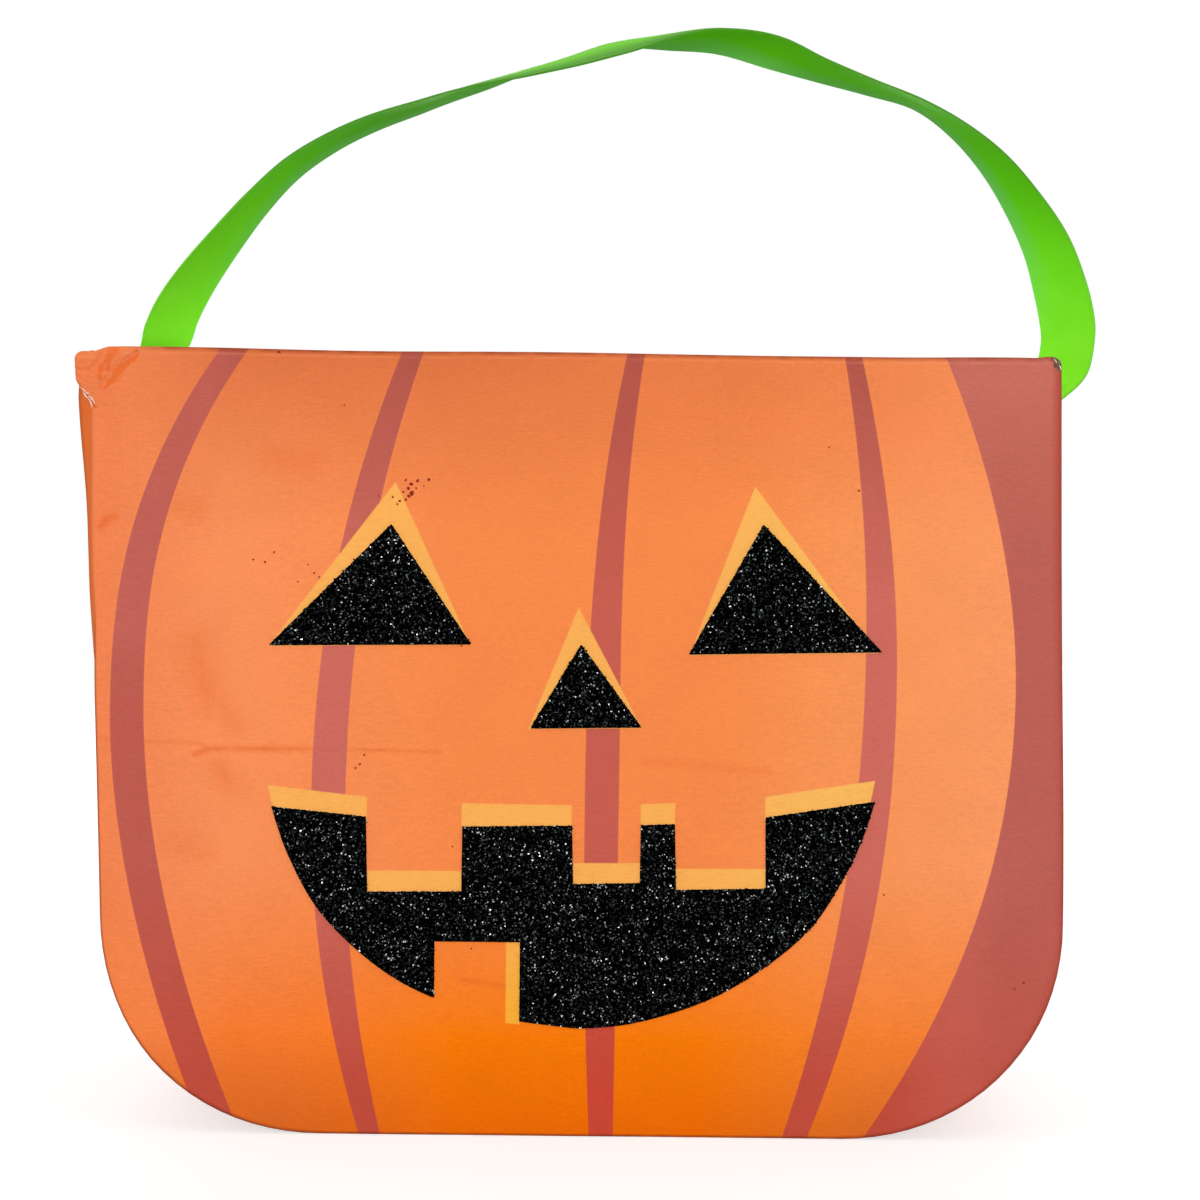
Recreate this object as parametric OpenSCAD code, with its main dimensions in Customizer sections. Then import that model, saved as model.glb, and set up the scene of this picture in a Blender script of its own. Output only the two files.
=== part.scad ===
// Pumpkin treat bag: two paper-wrapped boards joined by a bent card gusset,
// a lantern face of glitter pieces and a ribbon handle knotted through the sides.
// Frame: +Z up, +X to the right, the face looks along -Y, origin at the middle of the base.

/* [Bag] */
// Width of the front and back panels along the top edge
top_w = 240; // [200:1:280]
// Width of the panels on the base line, before the corners are rounded
base_w = 234; // [194:1:274]
// Height of the panels
bag_h = 192; // [160:1:240]
// Depth of the bag from front face to back face
bag_d = 100; // [60:1:140]
// Radius of the two bottom corners of the panels
corner_r = 54; // [24:1:64]

/* [Board and paper] */
// Thickness of the grey board in the panels
board_t = 2; // [1:0.1:4]
// Thickness of the bent card in the gusset
card_t = 1.2; // [0.8:0.1:3]
// Thickness of the printed wrapping paper
paper_t = 0.3; // [0.2:0.05:0.6]
// Thickness of the lining paper
liner_t = 0.3; // [0.2:0.05:0.6]
// Thickness of the gummed stay tape
tape_t = 0.3; // [0.2:0.05:0.6]
// Width of each leg of the stay tape
tape_w = 12; // [6:0.5:20]
// Width of the wrapping paper that is turned over to the inside
turn_in = 14; // [8:0.5:20]
// Distance from the top edge down to the lining
liner_drop = 4; // [1:0.5:8]
// Thickness of a glue line between two layers
glue = 0.05; // [0.02:0.01:0.1]

/* [Face] */
// Thickness of the glitter pieces
glitter_t = 0.6; // [0.4:0.1:1.5]
// Height of the lowest edge of the eyes above the base
eye_z = 120; // [110:1:130]
// Distance from the bag's centre line to the inner corner of an eye
eye_x = 27; // [20:1:40]
// Width of an eye
eye_w = 48; // [30:1:60]
// Height of an eye
eye_h = 30; // [20:1:40]
// Height of the lower edge of the nose above the base
nose_z = 100.5; // [95:0.5:105]
// Width of the nose
nose_w = 26.5; // [15:0.5:35]
// Height of the nose
nose_h = 20; // [10:0.5:24]
// Radius of the grin's lower edge
grin_r = 77; // [60:1:84]
// Height of the grin's lowest point above the base
grin_z = 27; // [20:1:34]
// Height of the grin's upper edge above the base
grin_top = 76.5; // [70:0.5:84]
// How much higher the corners of the grin are than its upper edge
grin_lift = 5; // [0:0.5:10]
// Height of the lower ends of the upper teeth above the base
tooth_z = 61; // [50:0.5:68]
// Height of the top of the lower tooth above the base
lower_tooth_z = 48; // [40:0.5:56]

/* [Ribbon handle] */
// Width of the ribbon
ribbon_w = 16; // [8:0.5:25]
// Thickness of the ribbon
ribbon_t = 0.5; // [0.3:0.05:1]
// Height of the loop's top above the holes
handle_rise = 98.5; // [70:0.5:160]
// Diameter of the punched holes that the ribbon passes through
hole_d = 5; // [4:0.1:8]
// Distance from the top edge down to the middle of a hole
hole_drop = 8; // [6:0.5:14]
// Clearance all round the gathered ribbon in its hole
hole_clearance = 0.3; // [0.2:0.05:0.6]
// How far the gathered ribbon stands out of its hole before it bends
neck_out = 1.5; // [1:0.1:3]
// Radius of the knots inside the bag
knot_r = 5.5; // [4:0.1:8]
// Length of a knot
knot_l = 8; // [5:0.5:12]
// Length of the free ribbon end below a knot
tail_l = 14; // [6:0.5:24]

/* [Hidden] */
$fn = 96;
// Overrun of a cutting shape past the face that it opens
cut = 1;

// Side lines of the panels lean outwards; the corner circles touch them and the base line
side_lean = atan2((top_w - base_w) / 2, bag_h);
side_normal = [cos(side_lean), -sin(side_lean)];
corner_x = base_w / 2 - corner_r * (1 - sin(side_lean)) / cos(side_lean);

// Layers of a panel, from its outer face inwards along +Y on the front
front_y = -bag_d / 2;
board_y = front_y + paper_t + glue;
panel_in = board_y + board_t + glue + paper_t;
liner_y = panel_in + glue + tape_t + glue;
liner_face = liner_y + liner_t;

// Layers of the gusset, as insets from the bag's outline
card_inset = paper_t + glue;
card_face = card_inset + card_t;
tape_inset = card_face + glue;
gusset_t = card_face + glue + paper_t;
liner_inset = tape_inset + max(paper_t, tape_t) + glue;
wall_t = liner_inset + liner_t;
gusset_y = panel_in + glue;
card_top = bag_h - card_inset;
tape_top = bag_h - turn_in - glue;
liner_top = bag_h - liner_drop;

function half_width(z, inset = 0) = base_w / 2 + z * tan(side_lean) - inset / cos(side_lean);
function flip(p) = [-p[0], p[1]];

// Outline of a panel drawn in by an inset, with its top edge at a height
module panel_shape(inset, top) {
    r = corner_r - inset;
    side = [corner_x, corner_r] + r * side_normal;
    brim = [half_width(top, inset), top];
    foot = [corner_x, inset];
    polygon([foot, side, brim, flip(brim), flip(side), flip(foot)]);
    for (x = [-corner_x, corner_x])
        translate([x, corner_r]) circle(r);
}

// Strip that follows the sides and bottom between two insets, open at the top
module strip_shape(outer, inner, top) {
    difference() {
        panel_shape(outer, top);
        panel_shape(inner, top + cut);
    }
}

// The part of a strip above a height
module strip_end(outer, inner, low) {
    difference() {
        strip_shape(outer, inner, bag_h);
        translate([-top_w, 0]) square([2 * top_w, low]);
    }
}

// Stands a shape of the X-Z plane up between two depths
module slab(y0, y1) {
    translate([0, y1, 0]) rotate([90, 0, 0]) linear_extrude(y1 - y0) children();
}

module to_back() {
    mirror([0, 1, 0]) children();
}

module panel_board() {
    slab(board_y, board_y + board_t) panel_shape(card_inset, card_top);
}

// Paper on the face, over the edges and turned in behind the board
module panel_wrap() {
    difference() {
        slab(front_y, panel_in) panel_shape(0, bag_h);
        slab(front_y + paper_t, panel_in - paper_t) panel_shape(paper_t, bag_h - paper_t);
        slab(panel_in - paper_t - glue, panel_in + cut) panel_shape(turn_in, bag_h - turn_in);
    }
}

module panel_liner() {
    slab(liner_y, liner_face) panel_shape(liner_inset, liner_top);
}

// Folded tape: one leg on the panel, one on the gusset card
module stay_tape() {
    slab(gusset_y, gusset_y + tape_t) strip_shape(tape_inset, tape_inset + tape_w, tape_top);
    slab(gusset_y, gusset_y + tape_w) strip_shape(tape_inset, tape_inset + tape_t, tape_top);
}

module front_board() { color("darkgray") panel_board(); }
module front_wrap() { color("darkorange") panel_wrap(); }
module front_liner() { color("antiquewhite") panel_liner(); }
module front_stay_tape() { color("tan") stay_tape(); }
module back_board() { color("darkgray") to_back() panel_board(); }
module back_wrap() { color("darkorange") to_back() panel_wrap(); }
module back_liner() { color("antiquewhite") to_back() panel_liner(); }
module back_stay_tape() { color("tan") to_back() stay_tape(); }

// Ribbon holes, punched through both sides in one line
hole_z = bag_h - hole_drop;
module ribbon_holes() {
    translate([0, 0, hole_z]) rotate([0, 90, 0]) cylinder(d = hole_d, h = 2 * top_w, center = true);
}

module gusset_board() {
    color("darkgray") difference() {
        slab(gusset_y, -gusset_y) strip_shape(card_inset, card_face, card_top);
        ribbon_holes();
    }
}

// Paper on the outside of the gusset, over its top ends and turned in
module gusset_wrap() {
    color("darkorange") difference() {
        slab(gusset_y, -gusset_y) {
            strip_shape(0, paper_t, bag_h);
            strip_end(0, gusset_t, bag_h - paper_t);
            strip_end(gusset_t - paper_t, gusset_t, bag_h - turn_in);
        }
        ribbon_holes();
    }
}

module gusset_liner() {
    color("antiquewhite") difference() {
        slab(liner_face + glue, -liner_face - glue) strip_shape(liner_inset, wall_t, liner_top);
        ribbon_holes();
    }
}

// Glitter pieces, glued on the front face
module on_front() {
    slab(front_y - glue - glitter_t, front_y - glue) children();
}

// Eyes lean towards the nose; the tip is this far from the inner corner
eye_tip = 0.4 * eye_w;
module eye_shape() {
    polygon([[eye_x, eye_z], [eye_x + eye_w, eye_z], [eye_x + eye_tip, eye_z + eye_h]]);
}
module left_eye_glitter() { color("black") on_front() mirror([1, 0]) eye_shape(); }
module right_eye_glitter() { color("black") on_front() eye_shape(); }

module nose_glitter() {
    color("black") on_front() translate([0, nose_z])
        polygon([[-nose_w / 2, 0], [nose_w / 2, 0], [0, nose_h]]);
}

// Upper teeth as left and right edges, and the lower tooth, across the grin
upper_teeth = [[-52, -28.5], [-1.5, 15], [23.5, 46]];
lower_tooth = [-35, -14];
grin_side = grin_r * 0.97;

module tooth_shape(edges, low, high) {
    translate([edges[0], low]) square([edges[1] - edges[0], high - low]);
}

module grin_shape() {
    outer_left = upper_teeth[0][0];
    outer_right = upper_teeth[2][1];
    high = grin_top + grin_lift;
    difference() {
        intersection() {
            translate([0, grin_z + grin_r]) circle(grin_r);
            polygon([
                [-grin_r, 0], [grin_r, 0], [grin_side, high], [outer_right, grin_top],
                [outer_left, grin_top], [-grin_side, high],
            ]);
        }
        for (edges = upper_teeth)
            tooth_shape(edges, tooth_z, high + grin_r);
        tooth_shape(lower_tooth, grin_z - cut, lower_tooth_z);
    }
}
module mouth_glitter() { color("black") on_front() grin_shape(); }

// Ribbon ends: a gathered neck in the hole, a knot of two turns and a free end inside the bag
wall_out = half_width(hole_z);
knot_face = half_width(hole_z, wall_t) - hole_clearance;
neck_r = hole_d / 2 - hole_clearance;
neck_end = wall_out + neck_out;
knot_round = knot_r / 4;
tail_t = 2 * ribbon_t;

module knot_turn(low) {
    rotate_extrude() polygon([
        [0, low], [knot_r - knot_round, low], [knot_r, low + knot_round],
        [knot_r, low + knot_l / 2 - knot_round], [knot_r - knot_round, low + knot_l / 2], [0, low + knot_l / 2],
    ]);
}

module knot() {
    translate([0, 0, hole_z]) rotate([0, 90, 0]) {
        translate([0, 0, knot_face - knot_l]) {
            knot_turn(0);
            knot_turn(knot_l / 2);
        }
        translate([0, 0, knot_face - cut]) cylinder(r = neck_r, h = neck_end - knot_face + cut);
    }
    translate([knot_face - knot_l / 4, 0, hole_z]) rotate([90, 0, -90]) linear_extrude(tail_t)
        polygon([
            [-neck_r, 0], [-ribbon_w / 3, -knot_r - tail_l + neck_r],
            [ribbon_w / 3, -knot_r - tail_l], [neck_r, 0],
        ]);
}
module left_knot() { color("limegreen") mirror([1, 0, 0]) knot(); }
module right_knot() { color("limegreen") knot(); }

// Route of the ribbon from the left hole to the right one, as places across and above the holes
route = [
    [-121.5, 0], [-124, 1], [-125.4, 3.6], [-125, 7], [-122.4, 9.8], [-118.4, 11.4],
    [-113.6, 16.2], [-110.2, 24.4], [-105.2, 32.6], [-97.2, 43.3], [-88.7, 53.7], [-79.2, 63.2],
    [-67.8, 70.7], [-55.8, 76.3], [-42.8, 81.2], [-29.5, 86], [-16.5, 90], [-3, 93.7],
    [10.5, 97], [23.5, 98.5], [36.5, 98.5], [50, 95.7], [63, 91], [76.5, 86.5],
    [89, 82.2], [100, 75.2], [109.6, 66.2], [117.5, 55.5], [124, 44], [128, 32],
    [129.8, 23.5], [129.9, 18.5], [129, 13], [127, 7.5], [124.8, 3], [121.5, 0],
];
// Turn of the ribbon about its own length at each of these places, in degrees
turn_angles = [
    -75, -75, -78, -82, -86, -84, -50, -54, -61, -70, -77, -82,
    -86, -89, -93, -98, -112, -117, -115, -92, -80, -72, -82, -90,
    -94, -87, -76, -65, -52, -41, -38, -40, -40, -38, -34, -30,
];
// Places over which the ribbon spreads from its gathered end to its full width, left and right
left_gather = 7;
right_gather = 3;
// Half span and rise that the route is drawn for
route_foot = -route[0][0];
route_rise = max([for (p = route) p[1]]);
route_end = len(route) - 1;
// Rows where the swinging arch begins and ends, and rings along each row
arch_start = 7;
arch_end = 30;
arch_rings = 3;
leg_rings = 3;
// Gap between the arch and the legs, as a share of a row
arch_gap = 0.06;
// Thickness of the gathered ribbon at the neck
neck_t = 2 * neck_r * 0.8;
neck_w = 2 * neck_r;

// Smooth curve through the entries of a list
function blend(a, b, c, d, t) =
    0.5 * (2 * b + (c - a) * t + (2 * a - 5 * b + 4 * c - d) * t * t + (3 * b - a - 3 * c + d) * t * t * t);
function entry(list, i) = list[max(0, min(route_end, i))];
function along(list, u) =
    let (i = min(route_end - 1, floor(u)))
    blend(entry(list, i - 1), entry(list, i), entry(list, i + 1), entry(list, i + 2), u - i);
function centre(u) =
    let (p = along(route, u))
    [p[0] * (neck_end + glue) / route_foot, 0, hole_z + p[1] * handle_rise / route_rise];
// Share of the full width: 0 where the ribbon is gathered in its hole, 1 where it lies flat
function spread(u) =
    let (t = min(1, u / left_gather, (route_end - u) / right_gather))
    t * t * (3 - 2 * t);
function unit(v) = v / norm(v);
// Direction of the ribbon, level where it leaves a hole
function heading(u) =
    u == 0 || u == route_end ? [-1, 0, 0] : unit(centre(u + 0.05) - centre(u - 0.05));
function ring(u) =
    let (
        turn = along(turn_angles, u),
        half_w = (neck_w + (ribbon_w - neck_w) * spread(u)) / 2,
        half_t = (neck_t + (ribbon_t - neck_t) * sqrt(spread(u))) / 2,
        ahead = heading(u),
        outward = [-ahead[2], 0, ahead[0]],
        across = cos(turn) * outward + sin(turn) * [0, 1, 0],
        through = cross(ahead, across),
        c = centre(u)
    )
    [for (s = [[1, 1], [-1, 1], [-1, -1], [1, -1]]) c + s[0] * half_w * across + s[1] * half_t * through];

// One closed strip of ribbon between two places on the route
module ribbon(u0, u1, count) {
    rings = [for (i = [0:count]) each ring(u0 + (u1 - u0) * i / count)];
    // The two faces of the strip are split along the same diagonal, so that they stay apart where it twists
    sides = [for (i = [0:count - 1], k = [0:3])
        let (a = 4 * i + k, b = 4 * i + (k + 1) % 4)
        each (k < 2 ? [[a, b + 4, b], [a, a + 4, b + 4]] : [[a, a + 4, b], [b, a + 4, b + 4]])];
    last = 4 * count;
    ends = [[0, 1, 2], [0, 2, 3], [last + 2, last + 1, last], [last + 3, last + 2, last]];
    polyhedron(rings, concat(sides, ends));
}

module ribbon_arch() {
    color("limegreen") ribbon(arch_start + arch_gap, arch_end - arch_gap, arch_rings * (arch_end - arch_start));
}
module left_ribbon_leg() { color("limegreen") ribbon(0, arch_start, leg_rings * arch_start); }
module right_ribbon_leg() {
    color("limegreen") ribbon(arch_end, route_end, leg_rings * (route_end - arch_end));
}

front_board();
front_wrap();
front_liner();
front_stay_tape();
back_board();
back_wrap();
back_liner();
back_stay_tape();
gusset_board();
gusset_wrap();
gusset_liner();
left_eye_glitter();
right_eye_glitter();
nose_glitter();
mouth_glitter();
ribbon_arch();
left_ribbon_leg();
right_ribbon_leg();
left_knot();
right_knot();
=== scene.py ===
# Pumpkin treat bag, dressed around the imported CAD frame.
# Lengths and places are in millimetres; they become metres where a mesh is made.
import math
import random

import bmesh
import bpy
import numpy as np
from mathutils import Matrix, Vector
from mathutils.geometry import delaunay_2d_cdt


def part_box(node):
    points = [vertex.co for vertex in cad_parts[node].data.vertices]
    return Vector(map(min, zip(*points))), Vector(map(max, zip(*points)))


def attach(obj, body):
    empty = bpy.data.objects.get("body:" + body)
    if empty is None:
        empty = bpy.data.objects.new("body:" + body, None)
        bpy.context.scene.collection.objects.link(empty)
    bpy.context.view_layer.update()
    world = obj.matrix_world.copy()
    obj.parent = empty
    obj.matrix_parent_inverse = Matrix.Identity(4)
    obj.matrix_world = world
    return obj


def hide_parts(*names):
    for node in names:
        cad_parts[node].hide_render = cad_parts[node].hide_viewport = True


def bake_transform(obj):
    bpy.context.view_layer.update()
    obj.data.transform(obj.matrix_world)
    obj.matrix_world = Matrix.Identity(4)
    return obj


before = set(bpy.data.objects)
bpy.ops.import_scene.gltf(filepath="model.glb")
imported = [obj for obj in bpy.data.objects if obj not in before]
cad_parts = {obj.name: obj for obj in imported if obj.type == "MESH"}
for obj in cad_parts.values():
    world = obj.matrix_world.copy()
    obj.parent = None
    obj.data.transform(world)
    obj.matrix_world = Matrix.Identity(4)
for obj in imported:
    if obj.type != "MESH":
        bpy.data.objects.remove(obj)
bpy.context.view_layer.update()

MM = 0.001
scene = bpy.context.scene
scene.view_settings.view_transform = "Standard"

# Bag, from the frame
wrap_low, wrap_high = (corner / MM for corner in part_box("front_wrap"))
gusset_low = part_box("gusset_wrap")[0] / MM
BAG_H = wrap_high.z
TOP_HALF = wrap_high.x
FRONT_Y = wrap_low.y
PANEL_IN = wrap_high.y
GUSSET_Y = gusset_low.y
# Half width on the base line, and radius of the bottom corners
BASE_HALF = 117
CORNER_R = 54
# Radius of the top corners, of a panel's outer edge and of its inner edge
RIM_R = 2
EDGE_R = 1.1
INNER_R = 0.5
# Thickness of the gusset with its papers
GUSSET_T = 1.9
SIDE_LEAN = math.atan2(TOP_HALF - BASE_HALF, BAG_H)
CORNER_X = BASE_HALF - CORNER_R * (1 - math.sin(SIDE_LEAN)) / math.cos(SIDE_LEAN)

# Ribbon, as in the CAD source: its holes, then places across and above the holes, and turns in degrees
RIBBON_W = 16
RIBBON_T = 0.4
HOLE_Z = 184
HOLE_R = 2.5
NECK_R = 2.1
NECK_END = 121.5
KNOT_FACE = 117.3
ROUTE = [
    (-121.5, 0), (-124, 1), (-125.4, 3.6), (-125, 7), (-122.4, 9.8), (-118.4, 11.4),
    (-113.6, 16.2), (-110.2, 24.4), (-105.2, 32.6), (-97.2, 43.3), (-88.7, 53.7), (-79.2, 63.2),
    (-67.8, 70.7), (-55.8, 76.3), (-42.8, 81.2), (-29.5, 86), (-16.5, 90), (-3, 93.7),
    (10.5, 97), (23.5, 98.5), (36.5, 98.5), (50, 95.7), (63, 91), (76.5, 86.5),
    (89, 82.2), (100, 75.2), (109.6, 66.2), (117.5, 55.5), (124, 44), (128, 32),
    (129.8, 23.5), (129.9, 18.5), (129, 13), (127, 7.5), (124.8, 3), (121.5, 0),
]
TURNS = [
    -75, -75, -78, -82, -86, -84, -50, -54, -61, -70, -77, -82,
    -86, -89, -93, -98, -107, -111, -109, -92, -80, -72, -82, -90,
    -94, -87, -76, -65, -52, -41, -38, -40, -40, -38, -34, -30,
]
# Steps of the route over which the ribbon is gathered at each end
LEFT_GATHER = 7
RIGHT_GATHER = 3

# Camera: level, half a metre from the face and a little right of its middle, rolled a touch
CAMERA_AT = (4.6, FRONT_Y - 500, 131.7)
CAMERA_LENS = 61.2
CAMERA_ROLL = -0.6
camera = bpy.data.objects.new("camera", bpy.data.cameras.new("camera"))
scene.collection.objects.link(camera)
camera.location = Vector(CAMERA_AT) * MM
camera.rotation_euler = (math.radians(90), math.radians(CAMERA_ROLL), 0)
camera.data.lens = CAMERA_LENS
camera.data.sensor_width = 36
camera.data.clip_start = 0.01
scene.camera = camera


# Small helpers

def ramp(value, low, high):
    """Smooth step from 0 at low to 1 at high."""
    t = np.clip((value - low) / (high - low), 0, 1)
    return t * t * (3 - 2 * t)


def bump(value, middle, reach):
    """Smooth hump: 1 in the middle, 0 from reach on."""
    return 1 - ramp(np.abs(value - middle), 0, reach)


def paint(red, green, blue):
    """An sRGB colour, 0 to 255, as the linear colour that Blender wants."""
    linear = []
    for value in (red, green, blue):
        v = value / 255
        linear.append(v / 12.92 if v <= 0.04045 else ((v + 0.055) / 1.055) ** 2.4)
    return (*linear, 1.0)


def soft_noise(points, size, seed):
    """Smooth random heights between about -1 and 1, for many points at once."""
    picks = random.Random(seed)
    total = np.zeros(len(points))
    waves = 9
    for _ in range(waves):
        aim = np.array([picks.gauss(0, 1) for _ in range(3)])
        aim *= 2 * math.pi / size / np.linalg.norm(aim) * picks.uniform(0.6, 1.5)
        total += np.sin(points @ aim + picks.uniform(0, 2 * math.pi))
    return total / math.sqrt(waves)


def along(rows, u):
    """Smooth curve through the rows."""
    last = len(rows) - 1
    i = min(last - 1, int(u))
    t = u - i
    a, b, c, d = (np.array(rows[max(0, min(last, k))], float) for k in (i - 1, i, i + 1, i + 2))
    return 0.5 * (
        2 * b + (c - a) * t + (2 * a - 5 * b + 4 * c - d) * t * t + (3 * b - a - 3 * c + d) * t ** 3
    )


# Form of the worn bag: it leans a little, bows, and bulges at its top left corner
LEAN_FOOT = 1.2
LEAN_TOTAL = 3.4
# Left wall: its swell above the middle, the puff below the rim and the tuck at the rim
LEFT_SWELL = 3.2
LEFT_PUFF = 1.3
LEFT_TUCK = 1.1
# How far the front's left edge is drawn in below the puffed corner
DRAWN_IN = 0.5
FRONT_BOW = 0.9
SIDE_BOW = 0.8
# How much fuller the bottom corners are, left and right
FULLER = (0.75, 0.45)


def settle(points):
    """Moves points of the true box to where they are in the used bag."""
    x, y, z = points.T
    moved = points.copy()
    moved[:, 0] += LEAN_FOOT - LEAN_TOTAL * np.clip((z - 30) / 162, 0, 1) ** 1.3
    left_wall = ramp(-x, 104, 118)
    swell = ramp(y, -47.6, -40) * (1 - ramp(y, -36, -14))
    bulge = LEFT_SWELL * ramp(z, 85, 135) + LEFT_PUFF * ramp(z, 150, 182) - LEFT_TUCK * ramp(z, 182, 188)
    moved[:, 0] -= bulge * swell * left_wall
    wall = ramp(np.abs(x), 104, 118) * ramp(z, 40, 110)
    moved[:, 0] -= np.sign(x) * SIDE_BOW * wall * bump(y, 4, 44) * bump(z, 120, 70)
    bow = np.cos(np.clip(x / 124, -1, 1) * math.pi / 2) * ramp(z, 0, 110)
    moved[:, 1] -= FRONT_BOW * bow * (ramp(-y, 20, 46) - ramp(y, 20, 46))
    drawn_in = ramp(z, 148, 170) * (1 - ramp(z, 176.5, 180.5)) * ramp(-x, 100, 119)
    moved[:, 0] += DRAWN_IN * drawn_in * (y < GUSSET_Y - 0.02)
    moved[:, 0] += ramp(x, 90, 118) * (0.4 - 0.85 * ramp(z, 55, 150))
    moved[:, 0] -= ramp(-x, 90, 118) * 0.5 * (1 - ramp(z, 105, 130))
    arc = 2 * np.clip((np.abs(x) - CORNER_X) / CORNER_R, 0, 1) * np.clip(1 - z / CORNER_R, 0, 1)
    fuller = np.where(x < 0, *FULLER) * np.clip(arc, 0, 1) ** 1.5
    moved[:, 0] += np.sign(x) * fuller
    moved[:, 2] -= fuller
    return moved


# Creases of the front paper: depth, then points with their half widths
CREASES = [
    (0.5, [(-115.2, 191.6, 1.3), (-116.3, 189.4, 0.9), (-116.9, 186.6, 0.35)]),
    (0.45, [(-117.4, 189, 0.4), (-118.2, 187.3, 0.8), (-118.5, 184.6, 0.6)]),
    (0.6, [
        (-109.6, 190.4, 0.5), (-112.2, 188.4, 0.9), (-114, 186.6, 1.2), (-115.8, 184.2, 0.9),
        (-117.3, 182.2, 0.3),
    ]),
    (0.45, [(-124.4, 183.6, 0.4), (-121.8, 180.8, 0.4), (-119.6, 177.6, 0.3)]),
    (0.2, [(-123.8, 189.2, 0.25), (-119.4, 188.7, 0.3)]),
    (0.25, [(-124, 187.4, 0.25), (-121.6, 187.1, 0.35), (-119.4, 186.4, 0.25)]),
    (0.22, [(-124, 185.6, 0.25), (-121, 185, 0.35), (-119.2, 183.6, 0.2)]),
    (0.16, [(-118.4, 178.4, 0.25), (-116.6, 177.8, 0.2)]),
    (0.03, [(-119.5, 95.5, 0.5), (-96, 94.4, 0.5), (-72, 94.8, 0.4)]),
    (0.03, [(-118, 88.5, 0.6), (-80, 90.5, 0.6)]),
    (0.03, [(20, 90.6, 0.5), (52, 91.8, 0.6), (76, 90.4, 0.5)]),
]
DENT_AT = (-116, 149.5)
DENT_DEPTH = 0.3
# Puffed top left corner: how far it stands out in front, and to the side
CAP_FRONT = 0.9
CAP_SIDE = 2.7


def crease_depths(x, z):
    """How deep the creases are at places on the front."""
    depths = np.zeros(len(x))
    places = np.stack([x, z], 1)
    ragged = np.clip(1 + 0.3 * soft_noise(np.stack([x, 0 * x, z], 1), 2.2, 31), 0.7, 1.5)
    for depth, corners in CREASES:
        near = np.full(len(x), np.inf)
        for (x0, z0, w0), (x1, z1, w1) in zip(corners, corners[1:]):
            start, run = np.array([x0, z0]), np.array([x1 - x0, z1 - z0])
            share = np.clip((places - start) @ run / (run @ run), 0, 1)
            gap = np.linalg.norm(places - start - share[:, None] * run, axis=1)
            near = np.minimum(near, gap / (w0 + (w1 - w0) * share))
        depths += depth * np.exp(-(near * ragged) ** 3)
    return depths


def shoulder(x, z):
    """Where the front's left edge is rounded off below the puffed corner."""
    return ramp(-x, 119, 122) * ramp(z, 120, 165) * (1 - ramp(z, 177, 182))


def crumple(points):
    """Wear of the front paper on the settled face: a puffed corner, creases, a dent and slight waves."""
    x, y, z = points.T
    moved = points.copy()
    face = 1 - ramp(y, FRONT_Y + 0.5, PANEL_IN)
    flat = np.stack([x, 0 * y, z], 1)
    cap = ramp(-x, 112, 121) * ramp(z, 178, 186)
    dent = np.exp(-((x - DENT_AT[0]) / 2.5) ** 2 - ((z - DENT_AT[1]) / 3.5) ** 2)
    push = CAP_FRONT * cap - DENT_DEPTH * dent - crease_depths(x, z)
    push += 0.35 * cap * soft_noise(flat, 6, 9)
    push += 0.06 * soft_noise(flat, 34, 3) + 0.02 * soft_noise(flat, 11, 4)
    moved[:, 1] -= push * face
    moved[:, 1] += 1.4 * shoulder(x, z) ** 2 * face
    moved[:, 0] -= CAP_SIDE * ramp(z, 179.5, 185) * ramp(-x, 112, 121)
    lift = 0.8 * bump(x, -107, 70) + 0.3 * bump(x, 104, 30) + 0.4 * bump(x, 114.6, 4)
    lift += 0.35 * bump(x, -10, 60) - 1.3 * ramp(-x, 115.4, 118.4)
    moved[:, 2] += lift * ramp(z, 184, 191)
    return moved


def front_surface(points_2d):
    """Depth of the finished front face under places given as across and height."""
    places = np.asarray(points_2d, float)
    flat = np.stack([places[:, 0], np.full(len(places), FRONT_Y), places[:, 1]], 1)
    lean = settle(flat)[:, 0] - flat[:, 0]
    flat[:, 0] -= lean
    return crumple(settle(flat))[:, 1]


# Materials

# Length of one wave of the wave texture at scale 1
WAVE_LENGTH = 0.314


class Nodes:
    """A node tree, built from short calls that take and return sockets."""

    def __init__(self, owner):
        owner.use_nodes = True
        self.tree = owner.node_tree
        self.tree.nodes.clear()

    def feed(self, socket, value):
        if isinstance(value, bpy.types.NodeSocket):
            self.tree.links.new(value, socket)
        else:
            socket.default_value = value

    def node(self, kind, inputs, **settings):
        made = self.tree.nodes.new("ShaderNode" + kind)
        for key, value in settings.items():
            setattr(made, key, value)
        for key, value in inputs.items():
            self.feed(made.inputs[key], value)
        return made

    def show(self, output, shader):
        self.feed(self.node(output, {}).inputs["Surface"], shader.outputs[0])

    def math(self, operation, *values):
        return self.node("Math", dict(enumerate(values)), operation=operation).outputs[0]

    def chain(self, operation, values):
        """One value from many, joined two at a time."""
        whole = values[0]
        for value in values[1:]:
            whole = self.math(operation, whole, value)
        return whole

    def times(self, *values):
        return self.chain("MULTIPLY", values)

    def most(self, *values):
        return self.chain("MAXIMUM", values)

    def scaled(self, value, gain, start):
        return self.math("MULTIPLY_ADD", value, gain, start)

    def seen(self):
        """1 for what is seen, straight or by way of a surface, and 0 for the light it sheds."""
        rays = self.node("LightPath", {}).outputs
        return self.most(rays["Is Camera Ray"], rays["Is Glossy Ray"], rays["Is Transmission Ray"])


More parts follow.
